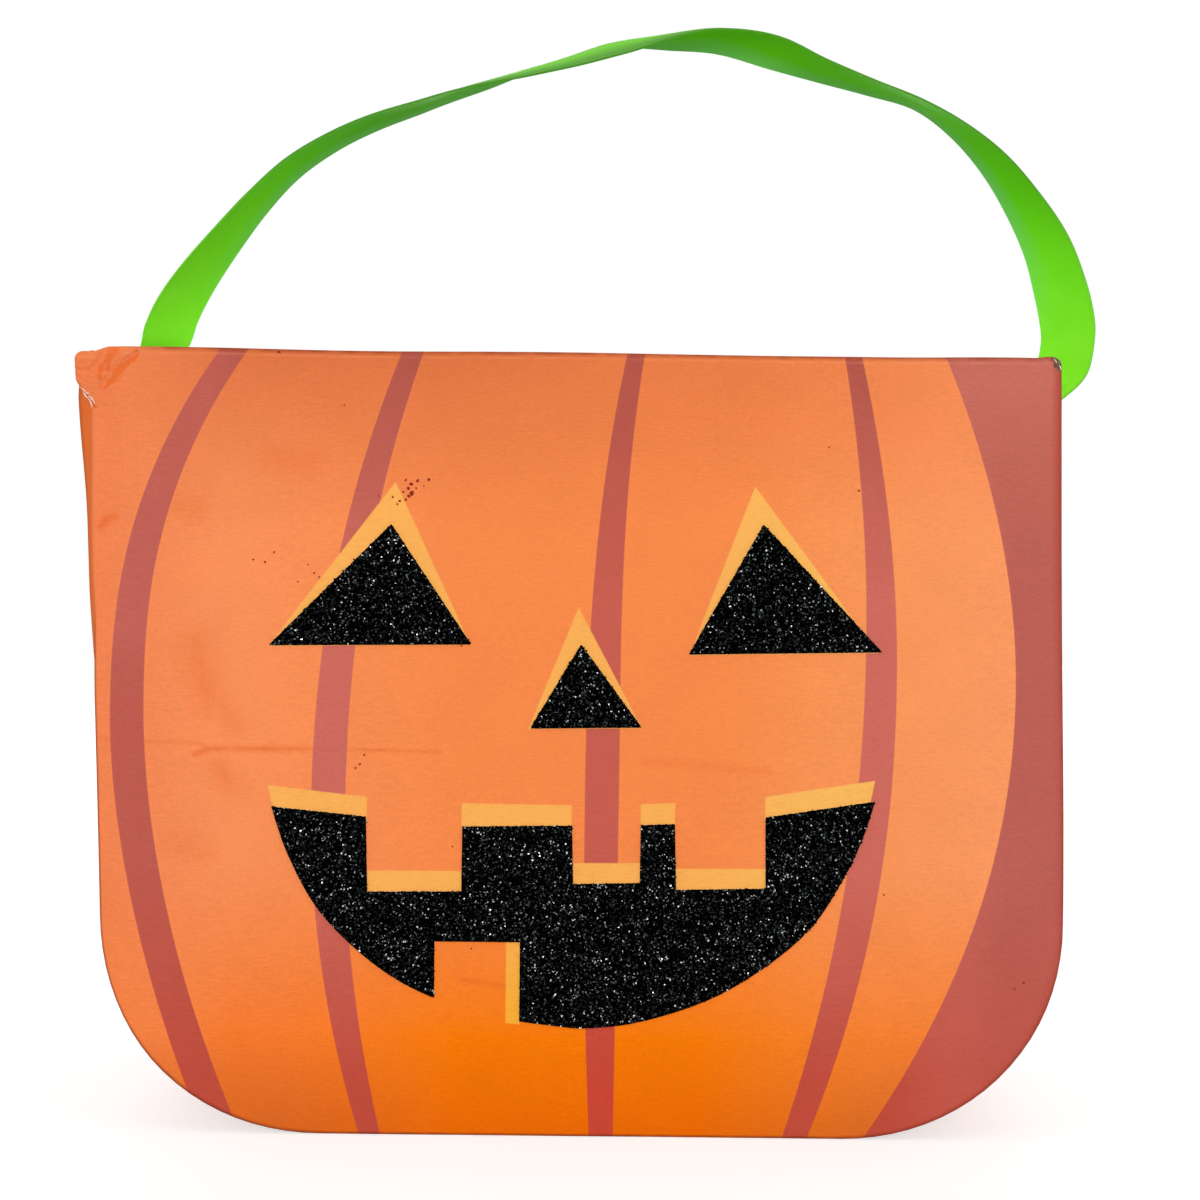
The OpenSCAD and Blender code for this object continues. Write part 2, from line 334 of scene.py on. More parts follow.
class Paint(Nodes):
    """A material with one shader, and object coordinates in millimetres."""

    def __init__(self, name, **values):
        self.material = bpy.data.materials.new(name)
        super().__init__(self.material)
        self.shader = self.node("BsdfPrincipled", {key.replace("_", " "): v for key, v in values.items()})
        self.show("OutputMaterial", self.shader)
        coords = self.node("TexCoord", {}).outputs["Object"]
        self.at = self.node("VectorMath", {0: coords, 3: 1 / MM}, operation="SCALE").outputs[0]
        self.x, self.y, self.z = self.node("SeparateXYZ", {0: self.at}).outputs

    def share(self, value, low, high):
        """0 at low, 1 at high, and straight between them."""
        inputs = {"Value": value, "From Min": low, "From Max": high}
        return self.node("MapRange", inputs, clamp=True).outputs["Result"]

    def fade(self, value, low, high, loss):
        """1 at low, and less by loss at high."""
        return self.scaled(self.share(value, low, high), -loss, 1.0)

    def mix(self, factor, first, second, blend="MIX"):
        inputs = {0: factor, 6: first, 7: second}
        return self.node("Mix", inputs, data_type="RGBA", blend_type=blend).outputs[2]

    def tint(self, colour, tone, *factors):
        """Mixes a tone into a colour, as far as the product of the factors."""
        return self.mix(self.times(*factors), colour, tone)

    def stretched(self, *factors):
        return self.node("VectorMath", {0: self.at, 1: factors}, operation="MULTIPLY").outputs[0]

    def noise(self, vector, size, detail=2.0):
        """Noise from 0 to 1 with features of about that size."""
        return self.node("TexNoise", {"Vector": vector, "Scale": 1 / size, "Detail": detail}).outputs[0]

    def weave(self, vector, sizes):
        """Waves in two directions, each of its own size."""
        waves = []
        for direction, size in sizes.items():
            inputs = {"Vector": vector, "Scale": WAVE_LENGTH / size}
            made = self.node("TexWave", inputs, wave_type="BANDS", bands_direction=direction)
            waves.append(made.outputs["Fac"])
        return self.math("ADD", *waves)

    def attribute(self, name):
        return self.node("Attribute", {}, attribute_name=name).outputs["Fac"]

    def relief(self, height, distance, strength):
        inputs = {"Height": height, "Distance": distance * MM, "Strength": strength}
        self.feed(self.shader.inputs["Normal"], self.node("Bump", inputs).outputs[0])

    def colour(self, value):
        self.feed(self.shader.inputs["Base Color"], value)

    def rough(self, value):
        self.feed(self.shader.inputs["Roughness"], value)


# Rib stripes of the print, each edge as a bowed line: belly, height of the belly, top end, base end,
# and how sharply it bends above and below the belly
RIBS = [
    ((-115.2, 103, -89.2, -91, 2.4, 1.8), (-107, 106, -82.3, -82.2, 2.4, 1.9)),
    ((-65.6, 79, -44.4, -53.1, 2.1, 2.0), (-57.3, 76, -39.1, -47.9, 2.2, 2.0)),
    ((1.4, 73, 10.7, 3.2, 2.7, 2.0), (9.8, 103, 15, 9.1, 2.7, 1.4)),
    ((69.9, 124, 63.9, 50.4, 2.0, 2.1), (77.5, 115, 68.1, 56.5, 1.9, 2.2)),
    ((106.7, 112, 88.8, 70.1, 1.9, 2.1), None),
]
# Pale shapes printed along the upper edges of the glitter pieces, each convex and anticlockwise
GLINTS = [
    [(-76.6, 119.6), (-27, 120.4), (-45.7, 160.1)],
    [(26.6, 118.4), (72.8, 119.4), (42.3, 159.8)],
    [(-12.6, 100), (15.2, 100.4), (-0.6, 129.8)],
    [(-74.7, 79), (-52, 77), (-52, 82.9), (-76.3, 85.5)],
    [(-28.7, 75), (-1.8, 75), (-1.8, 81.4), (-28.7, 81.6)],
    [(15.1, 75), (23.5, 75), (23.5, 82.2), (15.1, 81.8)],
    [(45.6, 77), (71, 81), (72.4, 88.1), (45.6, 83.9)],
    [(-52, 59), (-28.5, 59.3), (-28.5, 65), (-52, 64.9)],
    [(-1.6, 61), (15.2, 61.5), (15.2, 67.4), (-1.6, 67.2)],
    [(23.6, 60), (46, 60.6), (46, 66.2), (23.6, 66.1)],
    [(-17.5, 27.8), (-14, 27.5), (-14, 48), (-17.5, 48)],
]
# Painted shade along creases and at the dent, and handling smudges, in the print: strength, half width, start
# and end
CREASE_SHADE_AND_SMUDGES = [
    (0.9, 2.2, (-118.2, 148.4), (-116.6, 150.4)),
    (0.8, 1.8, (-116.6, 150.4), (-114.2, 151.2)),
    (0.4, 1.2, (-118, 96.2), (-92, 95.4)),
    (0.75, 1.6, (-92, 94.3), (-64, 94.6)),
    (0.55, 1, (-64, 94.6), (-34, 94.1)),
    (0.8, 1.4, (-94.4, 92.9), (-89.2, 94.6)),
    (0.45, 8, (-94, 120), (-91, 106)),
    (0.35, 6, (-88, 106), (-85, 100)),
    (0.4, 6, (-88, 89), (-85, 86)),
    (0.3, 6, (-98, 71), (-92, 69)),
    (0.3, 7, (-101, 155), (-95, 153)),
    (0.3, 7, (-76, 166), (-66, 165)),
    (0.5, 1.6, (-28.6, 38.2), (-17.5, 36.9)),
    (0.3, 2.4, (16, 92.3), (46, 90.2)),
]
PRINT_BLUR = 0.12
FACE_MIDDLE = 5

ORANGE_SIDE = paint(254, 149, 93)
ORANGE_MID = paint(252, 141, 76)
ORANGE_LEFT = paint(246, 135, 83)
ORANGE_TOP = paint(225, 117, 68)
# Low in the print and at its foot, at the sides and in the middle
ORANGE_LOW, ORANGE_DEEP = paint(252, 127, 48), paint(255, 128, 2)
ORANGE_FOOT, ORANGE_BASE = paint(224, 107, 36), paint(238, 111, 2)
RIGHT_GAIN = (1.0, 1.1, 1.12, 1.0)
BRICK_SIDE = paint(191, 98, 88)
BRICK_LOW, BRICK_BASE = paint(196, 80, 63), paint(204, 74, 55)
# Tints laid over the brick red in turn: colour, strength, and where each starts and is full
BRICK_TINTS = [
    (paint(210, 109, 96), 1.0, {"off_middle": (100, 80)}),
    (paint(204, 97, 82), 1.0, {"off_middle": (50, 20)}),
    (paint(178, 85, 72), 0.9, {"z": (130, 192)}),
    (paint(203, 111, 96), 1.0, {"x": (80, 92), "z": (130, 185)}),
    (paint(204, 102, 91), 0.6, {"x": (-80, -92), "z": (105, 125)}),
    (paint(195, 92, 78), 0.7, {"x": (-80, -92), "z": (122, 106)}),
]
GLINT, GLINT_LOW = paint(255, 180, 90), paint(255, 180, 58)
# Orange of the painted crease shade and the handling smudges
CREASE_SHADE_AND_SMUDGE_ORANGE = paint(236, 106, 44)
# Painted shade in the creases of the front
FOLD_SHADE_ORANGE = paint(232, 106, 40)
# Edge tones: brown for wear and painted shade, red for painted shade on the rounded right edge, pale for a
# painted highlight
EDGE_WEAR_AND_SHADE_BROWN = paint(150, 66, 38)
EDGE_SHADE_RED = paint(182, 66, 54)
EDGE_HIGHLIGHT_PALE = paint(255, 172, 122)
BOARD_GREY, BOARD_DARK = paint(126, 108, 86), paint(84, 66, 50)


def off_middle(art):
    return art.math("ABSOLUTE", art.math("SUBTRACT", art.x, FACE_MIDDLE))


def inked(art, gap):
    """1 within a printed edge, 0 beyond it."""
    return art.share(gap, -PRINT_BLUR, PRINT_BLUR)


def rib_edge(art, edge):
    belly, belly_z, top, base, top_bend, base_bend = edge
    above = art.math("POWER", art.share(art.z, belly_z, BAG_H), top_bend)
    below = art.math("POWER", art.share(art.z, belly_z, 0), base_bend)
    return art.math("ADD", art.times(above, top - belly), art.scaled(below, base - belly, belly))


def rib_mask(art):
    masks = []
    for left, right in RIBS:
        mask = inked(art, art.math("SUBTRACT", art.x, rib_edge(art, left)))
        if right:
            mask = art.times(mask, inked(art, art.math("SUBTRACT", rib_edge(art, right), art.x)))
        masks.append(mask)
    return art.most(*masks)


def glint_mask(art):
    masks = []
    for corners in GLINTS:
        gaps = []
        for (x0, z0), (x1, z1) in zip(corners, corners[1:] + corners[:1]):
            length = math.hypot(x1 - x0, z1 - z0)
            a, b = -(z1 - z0) / length, (x1 - x0) / length
            gaps.append(art.scaled(art.x, a, art.scaled(art.z, b, -a * x0 - b * z0)))
        masks.append(inked(art, art.chain("MINIMUM", gaps)))
    return art.most(*masks)


def crease_shade_and_smudge_share(art):
    """Where the print is darkened by painted crease shade and by handling smudges, from 0 to 1."""
    marks = []
    for strength, half, (x0, z0), (x1, z1) in CREASE_SHADE_AND_SMUDGES:
        run_x, run_z = x1 - x0, z1 - z0
        length = run_x ** 2 + run_z ** 2
        off_x, off_z = art.math("SUBTRACT", art.x, x0), art.math("SUBTRACT", art.z, z0)
        part = art.share(art.scaled(off_z, run_z / length, art.times(off_x, run_x / length)), 0, 1)
        gaps = (art.scaled(part, -run_x, off_x), art.scaled(part, -run_z, off_z))
        squares = (art.math("POWER", gap, 2.0) for gap in gaps)
        gap = art.math("POWER", art.math("ADD", *squares), 0.5)
        marks.append(art.times(art.math("POWER", art.share(gap, half, 0), 1.5), strength))
    uneven = art.scaled(art.share(art.noise(art.at, 4, 3.0), 0.25, 0.6), 0.6, 0.4)
    return art.times(art.most(*marks), uneven)


def lift_right(art, colour):
    """A little more light in the orange right of the middle."""
    lift = art.times(art.share(art.x, 30, 56), art.share(art.z, 176, 150))
    return art.mix(lift, colour, RIGHT_GAIN, "MULTIPLY")


def orange_ground(art):
    """Orange of the print: richer towards the middle and the base, darker towards the top and the left."""
    colour = art.mix(art.share(off_middle(art), 95, 35), ORANGE_SIDE, ORANGE_MID)
    colour = art.mix(art.share(art.x, -84, -116), colour, ORANGE_LEFT)
    fades = art.fade(art.x, -30, 90, 0.75), art.fade(art.x, -90, -112, 0.7)
    colour = art.tint(colour, ORANGE_TOP, art.share(art.z, 148, 194), *fades)
    heart = art.share(art.math("ABSOLUTE", art.x), 72, 30)
    low = art.mix(heart, ORANGE_LOW, ORANGE_DEEP)
    colour = art.tint(colour, low, art.share(art.z, 66, 24), art.fade(art.x, -84, -104, 0.5))
    colour = art.mix(art.share(art.z, 26, 2), colour, art.mix(heart, ORANGE_FOOT, ORANGE_BASE))
    return lift_right(art, colour)


def brick_tone(art):
    """Brick red of the ribs, with its tints."""
    measures = {"x": art.x, "z": art.z, "off_middle": off_middle(art)}
    colour = BRICK_SIDE
    for tone, strength, spans in BRICK_TINTS:
        shares = [art.share(measures[key], *span) for key, span in spans.items()]
        colour = art.tint(colour, tone, *shares, strength)
    low = art.mix(art.share(measures["off_middle"], 50, 20), BRICK_LOW, BRICK_BASE)
    return art.tint(colour, low, art.share(art.z, 66, 14), art.fade(art.x, 76, 96, 0.45))


def linen(art, colour):
    """Fine linen grain of the wrapping paper, with uneven ink: soft clouds, grain and threads."""
    grain = art.noise(art.at, 0.45, 3.0)
    art.relief(art.scaled(art.weave(art.at, {"X": 0.55, "Z": 0.55}), 0.35, grain), 0.035, 0.6)
    cloud = art.share(art.noise(art.at, 16), 0.25, 0.75)
    thread = art.share(art.noise(art.stretched(0.2, 1.0, 1.0), 0.45), 0.3, 0.7)
    uneven = art.math("ADD", art.times(cloud, 0.05), art.times(thread, 0.075))
    uneven = art.scaled(art.share(grain, 0.25, 0.75), 0.11, uneven)
    return art.mix(1.0, colour, art.math("ADD", uneven, 0.872), "MULTIPLY")


def edge_wear_and_shade(art, colour, left_edge_shade):
    """Rubbed edges with painted light and shade: a dark line along the top and round the outline, partly wear
    and partly painted shade of the rounded edge; a painted highlight on the crease under the top; and painted
    shade along the rounded sides, red at the right and brown low on the left.
    """
    rub = art.share(art.noise(art.at, 5, 4.0), 0.3, 0.65)
    rim, brim = art.attribute("rim"), art.attribute("brim")
    strong = art.times(art.scaled(rub, 0.5, 0.35), art.share(art.x, -113, -100))
    # Dark line along the top: wear and painted shade of the rounded edge
    colour = art.tint(colour, EDGE_WEAR_AND_SHADE_BROWN, art.share(brim, 1.3, 0.4), strong)
    # Painted highlight on the crease under the top edge
    colour = art.tint(colour, EDGE_HIGHLIGHT_PALE, art.share(brim, 1.2, 1.5), art.share(brim, 2.0, 1.6), rub, 0.22)
    faded = art.scaled(art.share(art.z, 100, 160), 0.4, 0.2)
    # Painted shade on the rounded right edge
    colour = art.tint(colour, EDGE_SHADE_RED, art.share(rim, 2.8, 1.2), art.share(art.x, 60, 80), faded)
    left_low = art.times(art.share(art.x, -70, -90), art.share(art.z, 134, 122))
    # Painted shade on the rounded left edge, low down
    colour = art.tint(colour, EDGE_WEAR_AND_SHADE_BROWN, art.share(rim, 0.85, 0.3), left_low, left_edge_shade)
    # Dark line round the outline: wear and painted shade of the rounded edge
    return art.tint(colour, EDGE_WEAR_AND_SHADE_BROWN, art.share(rim, 1.3, 0.2), strong)


def printed_paper(name, with_face):
    art = Paint(name, Roughness=0.6, Specular_IOR_Level=0.03)
    colour = orange_ground(art)
    if with_face:
        # Painted shade along the creases and at the dent, with handling smudges
        colour = art.mix(crease_shade_and_smudge_share(art), colour, CREASE_SHADE_AND_SMUDGE_ORANGE)
    colour = art.mix(rib_mask(art), colour, brick_tone(art))
    if with_face:
        glint = lift_right(art, art.mix(art.share(art.z, 60, 30), GLINT, GLINT_LOW))
        colour = art.mix(glint_mask(art), colour, glint)
        # Painted shade in the creases and along the rounded-off left edge under the puffed corner
        colour = art.tint(colour, FOLD_SHADE_ORANGE, art.share(art.attribute("fold_shade"), 0.08, 0.5), 0.75)
    colour = edge_wear_and_shade(art, linen(art, colour), 0.75 if with_face else 0.15)
    if with_face:
        board = art.mix(art.share(art.noise(art.at, 0.7, 3.0), 0.4, 0.6), BOARD_DARK, BOARD_GREY)
        colour = art.mix(art.attribute("board"), colour, board)
    art.colour(colour)
    return art.material


def gusset_print():
    """Plain orange paper, rubbed along its edges, with painted shade in the strip seen at the left of the
    front and a painted dark line along that strip's fold.
    """
    art = Paint("gusset_print", Roughness=0.6, Specular_IOR_Level=0.03)
    colour = linen(art, art.mix(art.share(art.z, 40, 2), paint(242, 131, 74), paint(234, 112, 34)))
    rub = art.share(art.noise(art.at, 2.5, 4.0), 0.4, 0.7)
    colour = art.tint(colour, paint(176, 78, 46), art.share(art.attribute("edge"), 0.4, 1.0), rub, 0.4)
    left = art.share(art.x, -100, -116)
    # Painted shade in the strip at the left of the front, which faces left
    colour = art.tint(colour, paint(238, 112, 40), art.share(art.y, -30, -42), left, 0.8)
    # Painted dark line along the fold at the edge of that strip
    line = art.times(art.share(art.y, -43.6, -41.4), art.share(art.y, -35, -39), left)
    art.colour(art.tint(colour, paint(150, 66, 30), line, art.share(art.z, 108, 132), 0.55))
    return art.material


def plain_paper(name, low, high, size, roughness):
    """Uncoated paper or board with a fibrous mottle."""
    art = Paint(name, Specular_IOR_Level=0.25)
    fibre = art.noise(art.stretched(1.0, 1.0, 0.25), size, 5.0)
    fleck = art.noise(art.at, size * 0.35)
    mottle = art.share(art.scaled(fleck, 0.4, fibre), 0.45, 0.95)
    art.colour(art.mix(mottle, paint(*low), paint(*high)))
    art.rough(art.scaled(mottle, 0.1, roughness))
    art.relief(art.math("ADD", fibre, fleck), 0.03, 0.5)
    return art.material


def satin(name, tones, edge_shade, twist_shade):
    """Satin ribbon, which turns up the loop to an arch tone of painted light and shade; with painted shade at
    one edge and in the twist, and a painted sheen along its far edge up the loop.
    """
    low, high, selvedge_and_sheen, arch, shade = (paint(*tone) for tone in tones)
    art = Paint(name, Specular_IOR_Level=0.02, Specular_Tint=(0.6, 1.0, 0.4, 1.0))
    over, length = art.attribute("over"), art.attribute("along")
    line = art.node("CombineXYZ", {0: length, 1: over}).outputs[0]
    slub = art.share(art.noise(line, 6, 3.0), 0.3, 0.7)
    loop = art.times(art.share(length, 40, 90), art.share(length, 345, 300))
    # Up the loop the colour turns to the arch tone, painted light and shade
    colour = art.mix(loop, art.mix(slub, low, high), arch)
    # Painted shade at one edge up the loop, and in the twist
    shaded = art.times(art.share(over, 3.2, 7.2), loop, edge_shade)
    twist = art.times(art.share(art.x, -80, -54), art.share(art.x, -12, -24), twist_shade)
    colour = art.mix(art.most(shaded, twist), colour, shade)
    edge = art.share(art.math("ABSOLUTE", over), RIBBON_W / 2 - 0.9, RIBBON_W / 2 - 0.3)
    # Painted sheen along the far edge up the loop, in the selvedge tone
    far = art.times(art.share(over, -2, -7.5), loop, 0.8)
    art.colour(art.mix(art.most(art.times(edge, 0.12), far), colour, selvedge_and_sheen))
    art.rough(art.scaled(slub, 0.08, 0.5))
    art.relief(art.weave(line, {"X": 0.34, "Y": 0.3}), 0.0015, 0.25)
    return art.material


def grain_paint(name, tone, roughness, metal, level):
    art = Paint(name, Metallic=metal, Specular_IOR_Level=level)
    colour = paint(*tone)
    uneven = art.share(art.noise(art.at, 0.9, 1.0), 0.35, 0.65)
    art.colour(art.mix(uneven, tuple(0.6 * c for c in colour[:3]) + (1.0,), colour))
    art.rough(art.scaled(uneven, 0.1, roughness))
    return art.material


front_paper = printed_paper("front_print", True)
back_paper = printed_paper("back_print", False)
gusset_paper = gusset_print()
board_paper = plain_paper("grey_board", (128, 116, 102), (168, 154, 138), 1.2, 0.85)
lining_paper = plain_paper("lining_paper", (236, 226, 206), (248, 241, 226), 0.9, 0.8)
tape_paper = plain_paper("stay_tape", (172, 132, 88), (196, 156, 110), 0.8, 0.7)
card_edge = plain_paper("glitter_card", (205, 180, 160), (232, 214, 196), 0.5, 0.8)
speck_paint = plain_paper("speck", (116, 26, 10), (158, 50, 24), 0.4, 0.8)
fibre_paint = plain_paper("fibre", (236, 200, 178), (255, 236, 222), 0.5, 0.9)
# Ribbon tones: low, high, selvedge with painted sheen, arch and shade; arch is painted light and shade up the
# loop, shade is painted shade
# Satin face: painted shade up the loop and in the twist, and a painted sheen at its far edge
satin_green = satin(
    "satin_ribbon",
    [(128, 244, 42), (134, 247, 48), (124, 222, 110), (106, 232, 24), (78, 186, 14)],
    0.0, 0.5,
)
# Dull back: its paler tone is partly painted sheen, with painted shade at its lower edge up the loop
dull_back_and_sheen_green = satin(
    "satin_ribbon_back",
    [(112, 200, 68), (120, 206, 76), (136, 212, 90), (127, 214, 73), (88, 142, 66)],
    0.8, 0.0,
)
# Side walls, painted darker as shade, most of all up the loop
shaded_wall_green = satin(
    "satin_ribbon_edge_shade",
    [(118, 222, 44), (124, 230, 48), (80, 152, 46), (78, 152, 40), (78, 148, 44)],
    0.0, 0.5,
)
# Glitter grains; the lighter ones are coloured partly as painted sparkle, besides their metallic reflection
grain_and_sparkle_paints = [
    grain_paint("glitter_black", (4, 4, 5), 0.4, 0.0, 0.0),
    grain_paint("glitter_dark", (34, 37, 37), 0.3, 0.8, 0.05),
    grain_paint("glitter_dim", (66, 70, 70), 0.3, 0.8, 0.1),
    grain_paint("glitter_grey", (122, 127, 127), 0.3, 0.8, 0.2),
    grain_paint("glitter_silver", (226, 230, 228), 0.25, 0.8, 0.5),
]


# Making pieces

def add_piece(mesh, form, materials, sharp):
    """Puts a bmesh into its mesh, and the mesh into the scene."""
    form.to_mesh(mesh)
    form.free()
    for material in materials:
        mesh.materials.append(material)
    if sharp:
        mesh.shade_smooth()
        mesh.set_sharp_from_angle(angle=math.radians(sharp))
    piece = bpy.data.objects.new(mesh.name, mesh)
    scene.collection.objects.link(piece)
    return piece


def make_mesh(name, points, faces, materials, sharp=40):
    """A piece from points in millimetres, with its faces turned outwards."""
    mesh = bpy.data.meshes.new(name)
    mesh.from_pydata((np.asarray(points, float) * MM).tolist(), [], faces)
    form = bmesh.new()
    form.from_mesh(mesh)
    bmesh.ops.recalc_face_normals(form, faces=form.faces)
    return add_piece(mesh, form, materials, sharp)


def place_piece(piece, slot, *nodes):
    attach(piece, "bag")
    if nodes:
        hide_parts(*nodes)
    return piece


def mark(piece, name, values):
    """Stores one number for each point, which a material reads."""
    attribute = piece.data.attributes.new(name, "FLOAT", "POINT")
    attribute.data.foreach_set("value", np.asarray(values, np.float32))


def quads(index, around=False):
    """Faces between the rows of a grid of point numbers; around joins its last column to its first."""
    if around:
        index = np.column_stack([index, index[:, :1]])
    corners = [index[:-1, :-1], index[:-1, 1:], index[1:, 1:], index[1:, :-1]]
    return np.stack(corners, -1).reshape(-1, 4).tolist()


def swept(path, section, closed=False):
    """Points and faces of a tube; section(i, ahead) gives offsets from the path's point i."""
    count = len(path)
    rings = []
    for i in range(count):
        before = path[i - 1] if closed or i else path[0]
        after = path[(i + 1) % count] if closed or i < count - 1 else path[-1]
        ahead = (after - before) / np.linalg.norm(after - before)
        rings.append(path[i] + section(i, ahead))
    index = np.arange(count * len(rings[0])).reshape(count, -1)
    if closed:
        return np.concatenate(rings), quads(np.concatenate([index, index[:1]]), True)
    ends = [index[0, ::-1].tolist(), index[-1].tolist()]
    return np.concatenate(rings), quads(index, True) + ends


def tube_axes(ahead, aside):
    """Two directions square to a tube, the first also square to aside."""
    first = np.cross(ahead, aside)
    first /= np.linalg.norm(first)
    return first, np.cross(first, ahead)


def joined(parts):
    """Points and faces of several forms as one."""
    points, faces, start = [], [], 0
    for more, sides in parts:
        points.append(more)
        faces += [[start + i for i in f] for f in sides]
        start += len(more)
    return np.concatenate(points), faces


# Panels: a face, a rounded rim and an inner face, in rows up the outline and columns across

ARC_ROWS = 20
WALL_SHARES = np.concatenate([np.linspace(0, 0.86, 60, endpoint=False), np.linspace(0.86, 1, 84)])
RIM_ROWS = 5
EDGE_STEPS = 6
INNER_STEPS = 3
COLUMNS = np.concatenate([
    np.linspace(-1, -0.86, 76, endpoint=False),
    np.linspace(-0.86, 0.86, 90, endpoint=False),
    np.linspace(0.86, 1, 25),
])


def half_width(z):
    return BASE_HALF + z * math.tan(SIDE_LEAN)


def base_arc(radius, count):
    """Points round the right bottom corner, from the base line up."""
    turns = [(math.pi / 2 - SIDE_LEAN) * i / ARC_ROWS for i in range(count)]
    return [(CORNER_X + radius * math.sin(a), CORNER_R - radius * math.cos(a)) for a in turns]


def side_points(inset):
    """Points up the right side of a panel: base corner, wall and top corner."""
    r = CORNER_R - inset
    cos_lean, sin_lean = math.cos(SIDE_LEAN), math.sin(SIDE_LEAN)
    points = base_arc(r, ARC_ROWS)
    rim = RIM_R - inset
    rim_z = BAG_H - RIM_R
    rim_x = half_width(rim_z) - RIM_R / cos_lean
    foot = np.array([CORNER_X + r * cos_lean, CORNER_R - r * sin_lean])
    brim = np.array([rim_x + rim * cos_lean, rim_z - rim * sin_lean])
    points += [tuple(foot + (brim - foot) * t) for t in WALL_SHARES]
    for i in range(1, RIM_ROWS + 1):
        a = -SIDE_LEAN + (math.pi / 2 + SIDE_LEAN) * i / RIM_ROWS
        points.append((rim_x + rim * math.cos(a), rim_z + rim * math.sin(a)))
    return points


def panel_shell():
    """Points, faces and distances from the outline of a wrapped front panel, before it is settled."""
    points, faces, rim = [], [], []

    def add_grid(inset, y, step):
        """Adds a face, with its rows in the order of step, and returns its border."""
        start = len(points)
        for x, z in side_points(inset):
            points.extend((u * x, y, z) for u in COLUMNS)
            rim.extend(min((1 - abs(u)) * x, z) + inset for u in COLUMNS)
        index = np.arange(start, len(points)).reshape(-1, len(COLUMNS))
        faces.extend(quads(index[::step]))
        return np.concatenate([index[0], index[1:, -1], index[-1, -2::-1], index[-2:0:-1, 0]])

    def add_ring(inset, y):
        side = side_points(inset)
        (foot_x, foot_z), (brow_x, brow_z) = side[0], side[-1]
        loop = [(u * foot_x, foot_z, inset) for u in COLUMNS]
        loop += [(x, z, inset) for x, z in side[1:]]
        loop += [(u * brow_x, brow_z, inset + (1 - abs(u)) * brow_x) for u in COLUMNS[-2::-1]]
        loop += [(-x, z, inset) for x, z in side[-2:0:-1]]
        points.extend((x, y, z) for x, z, gap in loop)
        rim.extend(gap for x, z, gap in loop)
        return np.arange(len(points) - len(loop), len(points))

    loops = [add_grid(EDGE_R, FRONT_Y, 1)]
    for i in range(1, EDGE_STEPS + 1):
        a = math.pi / 2 * i / EDGE_STEPS
        loops.append(add_ring(EDGE_R * (1 - math.sin(a)), FRONT_Y + EDGE_R * (1 - math.cos(a))))
    for i in range(INNER_STEPS):
        a = math.pi / 2 * i / INNER_STEPS
        loops.append(add_ring(INNER_R * (1 - math.cos(a)), PANEL_IN - INNER_R * (1 - math.sin(a))))
    loops.append(add_grid(INNER_R, PANEL_IN, -1))
    return np.array(points), faces + quads(np.array(loops), True), rim


panel_points, panel_faces, panel_rim = panel_shell()


def panel_piece(name, points, material):
    piece = make_mesh(name, points, panel_faces, [material])
    mark(piece, "rim", panel_rim)
    mark(piece, "brim", BAG_H - panel_points[:, 2])
    return piece


# Corner where the paper is worn through to the board
BOARD_AT = (116.9, 191.4)
BOARD_REACH = 2.3


def bared_board(points):
    """A ragged patch around the worn corner of the front, from 0 to 1."""
    x, z = points[:, 0] - BOARD_AT[0], points[:, 2] - BOARD_AT[1]
    ragged = soft_noise(points, 1.6, 5) * 0.25
    return 1 - ramp(np.hypot(x, z) / BOARD_REACH + ragged, 0.7, 1.0)


front_points = crumple(settle(panel_points))
front_across, front_up = front_points[:, 0], front_points[:, 2]
front = panel_piece("front_print_panel", front_points, front_paper)
# Crease depths and the rounded-off left edge, which the front print darkens as painted shade
mark(front, "fold_shade", crease_depths(front_across, front_up) + 0.4 * shoulder(front_across, front_up))
mark(front, "board", bared_board(front_points))
place_piece(front, "printed_paper", "front_wrap")

back = panel_piece("back_print_panel", settle(panel_points * (1, -1, 1)), back_paper)
place_piece(back, "printed_paper", "back_wrap")


# Gusset: one strip down the left side, along the base and up the right side

# Depths at which the papers of the gusset are cut finely, where the corner is puffed
PUFFED_DEPTHS = np.arange(-46.8, -12, 0.9)
# Softened edge of the strip, and points round each of its top ends
GUSSET_SOFT = 0.35
CAP_POINTS = 7


def strip_line(inset, top):
    """Left top, base and right top of the gusset at one inset, with the same count at any inset."""
    right = base_arc(CORNER_R - inset, ARC_ROWS + 1)
    foot_z = right[-1][1]
    for t in np.linspace(0, 1, 56)[1:]:
        z = foot_z + (top - foot_z) * t
        right.append((half_width(z) - inset / math.cos(SIDE_LEAN), z))
    floor = [(CORNER_X * t, inset) for t in np.linspace(-1, 1, 48)[1:-1]]
    return [(-x, z) for x, z in right[::-1]] + floor + right


